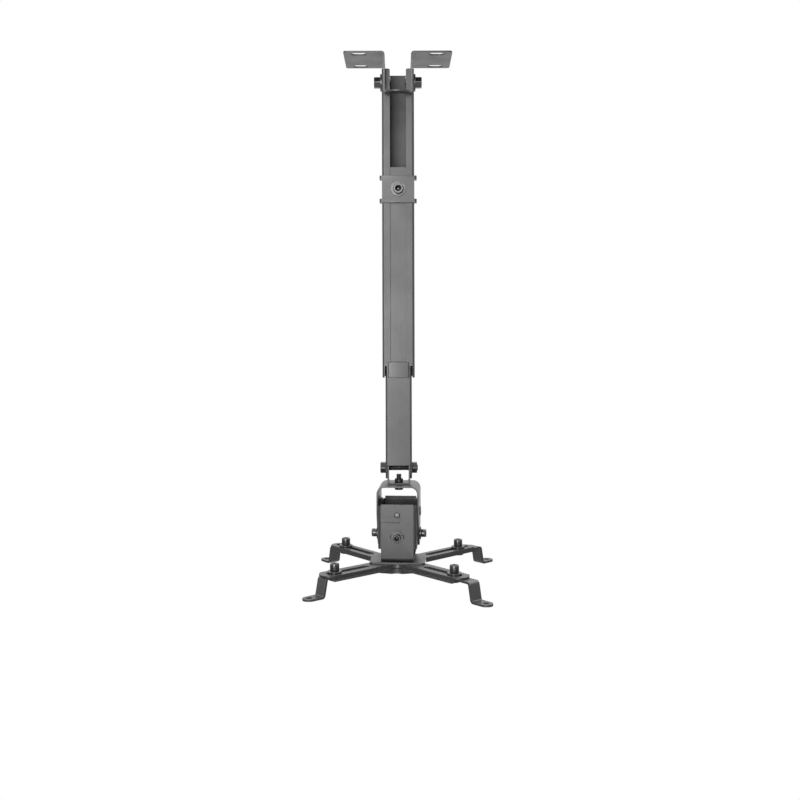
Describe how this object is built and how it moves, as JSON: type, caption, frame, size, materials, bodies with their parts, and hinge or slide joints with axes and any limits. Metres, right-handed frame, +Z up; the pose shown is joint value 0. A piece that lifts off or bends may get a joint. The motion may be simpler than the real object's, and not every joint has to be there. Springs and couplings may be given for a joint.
{
  "type": "projector ceiling mount",
  "caption": "Telescopic ceiling mount: slotted outer channel, sliding square tube, swivel and tilt head, and a cross of slotted arms with adjustable feet for a projector.",
  "frame": {"origin": "centre of the ceiling face, between the four slots, on the pole axis", "axes": "+Z up to the ceiling, -Y to the front with the clamp screw, +X to the right"},
  "size_m": [0.1815, 0.1766, 0.499],
  "materials": {
    "black_paint": "black powder coat, satin",
    "black_steel": "blackened steel fasteners, semi-gloss"
  },
  "bodies": {
    "ceiling_fixture": {"ceiling_hanger": "black_paint", "outer_channel": "black_paint", "end_stop": "black_paint", "top_bolts": "black_steel", "top_washers": "black_steel", "top_nuts": "black_steel"},
    "sliding_tube": {"inner_tube": "black_paint", "clamp_plate": "black_paint", "clamp_screw": "black_steel", "clamp_washer": "black_steel", "clamp_nut": "black_steel", "pivot_bolt": "black_steel", "pivot_nut": "black_steel"},
    "fork": {"pivot_fork": "black_paint", "swivel_bolt": "black_steel", "swivel_washer": "black_steel", "swivel_nut": "black_steel"},
    "yoke": {"tilt_yoke": "black_paint"},
    "block": {"tilt_block": "black_paint", "side_pins": "black_steel", "side_screws": "black_steel", "side_washers": "black_steel", "side_nuts": "black_steel", "roll_pins": "black_steel", "roll_screws": "black_steel", "roll_washers": "black_steel", "roll_nuts": "black_steel"},
    "carrier": {"projector_box": "black_paint", "front_spider": "black_paint", "rear_spider": "black_paint", "hub_screws": "black_steel", "hub_nuts": "black_steel"},
    "clamp_front_left": {"foot_bolt_front_left": "black_steel", "foot_washer_front_left": "black_steel", "foot_nut_front_left": "black_steel"},
    "leg_front_left": {"foot_front_left": "black_paint"},
    "clamp_front_right": {"foot_bolt_front_right": "black_steel", "foot_washer_front_right": "black_steel", "foot_nut_front_right": "black_steel"},
    "leg_front_right": {"foot_front_right": "black_paint"},
    "clamp_rear_left": {"foot_bolt_rear_left": "black_steel", "foot_washer_rear_left": "black_steel", "foot_nut_rear_left": "black_steel"},
    "leg_rear_left": {"foot_rear_left": "black_paint"},
    "clamp_rear_right": {"foot_bolt_rear_right": "black_steel", "foot_washer_rear_right": "black_steel", "foot_nut_rear_right": "black_steel"},
    "leg_rear_right": {"foot_rear_right": "black_paint"}
  },
  "joints": [
    {"name": "height_slide", "type": "slide", "parent": "ceiling_fixture", "child": "sliding_tube", "axis": [0, 0, -1], "range_m": [-0.07, 0.15]},
    {"name": "pole_fold", "type": "hinge", "parent": "sliding_tube", "child": "fork", "pos_m": [0, -0.0011, -0.3925], "axis": [1, 0, 0], "range_deg": [-45, 45]},
    {"name": "swivel", "type": "hinge", "parent": "fork", "child": "yoke", "pos_m": [0, -0.0011, -0.4077], "axis": [0, 0, 1], "continuous": true},
    {"name": "pitch", "type": "hinge", "parent": "yoke", "child": "block", "pos_m": [0, -0.0011, -0.434], "axis": [0.9976, -0.0698, 0], "range_deg": [-15, 15]},
    {"name": "roll", "type": "hinge", "parent": "block", "child": "carrier", "pos_m": [0, -0.0011, -0.434], "axis": [0.0698, 0.9976, 0], "range_deg": [-10, 10]},
    {"name": "clamp_front_left_slide", "type": "slide", "parent": "carrier", "child": "clamp_front_left", "axis": [-0.7604, -0.6494, 0], "range_m": [-0.036, 0.0054]},
    {"name": "leg_front_left_slide", "type": "slide", "parent": "clamp_front_left", "child": "leg_front_left", "axis": [-0.7604, -0.6494, 0], "range_m": [0, 0.014]},
    {"name": "clamp_front_right_slide", "type": "slide", "parent": "carrier", "child": "clamp_front_right", "axis": [0.6626, -0.749, 0], "range_m": [-0.036, 0.0054]},
    {"name": "leg_front_right_slide", "type": "slide", "parent": "clamp_front_right", "child": "leg_front_right", "axis": [0.6626, -0.749, 0], "range_m": [-0.011, 0.003]},
    {"name": "clamp_rear_left_slide", "type": "slide", "parent": "carrier", "child": "clamp_rear_left", "axis": [-0.6293, 0.7771, 0], "range_m": [-0.0412, 0.0102]},
    {"name": "leg_rear_left_slide", "type": "slide", "parent": "clamp_rear_left", "child": "leg_rear_left", "axis": [-0.6293, 0.7771, 0], "range_m": [-0.0045, 0.0095]},
    {"name": "clamp_rear_right_slide", "type": "slide", "parent": "carrier", "child": "clamp_rear_right", "axis": [0.7314, 0.682, 0], "range_m": [-0.0412, 0.0102]},
    {"name": "leg_rear_right_slide", "type": "slide", "parent": "clamp_rear_right", "child": "leg_rear_right", "axis": [0.7314, 0.682, 0], "range_m": [-0.014, 0]}
  ]
}
